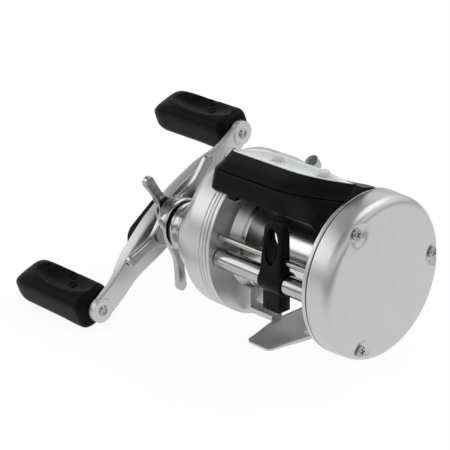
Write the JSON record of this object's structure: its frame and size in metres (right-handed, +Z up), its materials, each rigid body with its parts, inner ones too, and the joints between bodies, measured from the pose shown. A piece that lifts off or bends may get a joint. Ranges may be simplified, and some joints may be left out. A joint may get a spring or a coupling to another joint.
{
  "type": "round baitcasting reel",
  "caption": "Round multiplying fishing reel with open spool, level wind, star drag, swept double paddle handle and a line counter on top.",
  "frame": {"origin": "on the flat underside of the reel foot, below the middle of the spool", "axes": "+X along the spool axis to the palm side, -Y to the rod tip where the line leaves, +Z up from the rod"},
  "size_m": [0.1249, 0.0857, 0.0635],
  "materials": {
    "satin_silver": "satin silver, fine brushed",
    "polished_chrome": "polished chrome",
    "plain_steel": "plain turned steel",
    "gear_brass": "machined brass",
    "black_plastic": "black moulded plastic, soft gloss",
    "black_rubber": "black rubber, satin",
    "pale_face": "pale grey-blue glossy face",
    "frosted_plastic": "frosted translucent plastic",
    "drag_fibre": "dark woven fibre",
    "circuit_board": "green circuit board"
  },
  "bodies": {
    "reel": {"frame": "satin_silver", "rear_pillar_upper": "polished_chrome", "rear_pillar_lower": "polished_chrome", "foot": "satin_silver", "foot_rivet_1": "plain_steel", "foot_rivet_2": "plain_steel", "palm_plate": "satin_silver", "palm_screw_1": "plain_steel", "palm_screw_2": "plain_steel", "palm_screw_3": "plain_steel", "gear_plate": "satin_silver", "gear_screw_1": "plain_steel", "gear_screw_2": "plain_steel", "gear_screw_3": "plain_steel", "drive_collar": "polished_chrome", "collar_seal": "black_rubber", "brake_carrier": "satin_silver", "spool_bearing_palm": "plain_steel", "spool_bearing_gear": "plain_steel", "level_wind_tube": "polished_chrome", "guide_rod": "plain_steel", "counter_base": "black_plastic", "counter_cover": "black_plastic", "counter_window": "pale_face", "counter_board": "circuit_board", "counter_cell": "plain_steel"},
    "handle": {"handle_arm": "satin_silver", "handle_nut": "plain_steel", "nut_lock_plate": "black_plastic", "knob_spindle_front": "plain_steel", "knob_spindle_rear": "plain_steel", "drive_shaft": "plain_steel", "main_gear": "gear_brass", "drag_washer": "drag_fibre", "drag_pressure_plate": "plain_steel", "wind_drive_gear": "gear_brass"},
    "star": {"star_drag": "polished_chrome"},
    "front_knob": {"knob_front": "black_rubber"},
    "rear_knob": {"knob_rear": "black_rubber"},
    "line_spool": {"spool": "polished_chrome", "spool_shaft": "plain_steel", "pinion": "gear_brass", "brake_block_front": "black_plastic", "brake_block_rear": "black_plastic"},
    "worm": {"worm_shaft": "plain_steel", "worm_gear": "gear_brass"},
    "guide": {"line_guide": "black_plastic", "guide_pawl": "plain_steel", "pawl_cap": "plain_steel"},
    "thumb_lever": {"release_lever": "polished_chrome"},
    "left_button": {"counter_button_left": "frosted_plastic"},
    "right_button": {"counter_button_right": "frosted_plastic"},
    "cast_cap": {"cast_control_cap": "polished_chrome"}
  },
  "joints": [
    {"name": "handle_spin", "type": "hinge", "parent": "reel", "child": "handle", "pos_m": [0, -0.0141, 0.0262], "axis": [1, 0, 0], "continuous": true},
    {"name": "star_turn", "type": "hinge", "parent": "handle", "child": "star", "pos_m": [-0.0498, -0.0141, 0.0262], "axis": [1, 0, 0], "range_deg": [-180, 180]},
    {"name": "front_knob_spin", "type": "hinge", "parent": "handle", "child": "front_knob", "pos_m": [-0.055, -0.04748, 0.00274], "axis": [1, 0, 0], "continuous": true},
    {"name": "rear_knob_spin", "type": "hinge", "parent": "handle", "child": "rear_knob", "pos_m": [-0.055, 0.01928, 0.04966], "axis": [1, 0, 0], "continuous": true},
    {"name": "spool_spin", "type": "hinge", "parent": "reel", "child": "line_spool", "pos_m": [0, 0, 0.026], "axis": [1, 0, 0], "continuous": true},
    {"name": "worm_spin", "type": "hinge", "parent": "reel", "child": "worm", "pos_m": [0, -0.0227, 0.0246], "axis": [1, 0, 0], "continuous": true},
    {"name": "guide_slide", "type": "slide", "parent": "reel", "child": "guide", "axis": [1, 0, 0], "range_m": [-0.0172, 0.0068]},
    {"name": "lever_press", "type": "slide", "parent": "reel", "child": "thumb_lever", "axis": [0, 0.5736, -0.8192], "range_m": [0, 0.004], "stiffness_N_per_m": 400},
    {"name": "left_button_press", "type": "slide", "parent": "reel", "child": "left_button", "axis": [0, 0, -1], "range_m": [0, 0.0007], "stiffness_N_per_m": 300},
    {"name": "right_button_press", "type": "slide", "parent": "reel", "child": "right_button", "axis": [0, 0, -1], "range_m": [0, 0.0007], "stiffness_N_per_m": 300},
    {"name": "cast_cap_turn", "type": "hinge", "parent": "reel", "child": "cast_cap", "pos_m": [-0.0428, 0, 0.026], "axis": [1, 0, 0], "range_deg": [-180, 180]}
  ],
  "couplings": [
    {"joint": "spool_spin", "follows": "handle_spin", "ratio": -4.6},
    {"joint": "worm_spin", "follows": "handle_spin", "ratio": -1.8182}
  ]
}
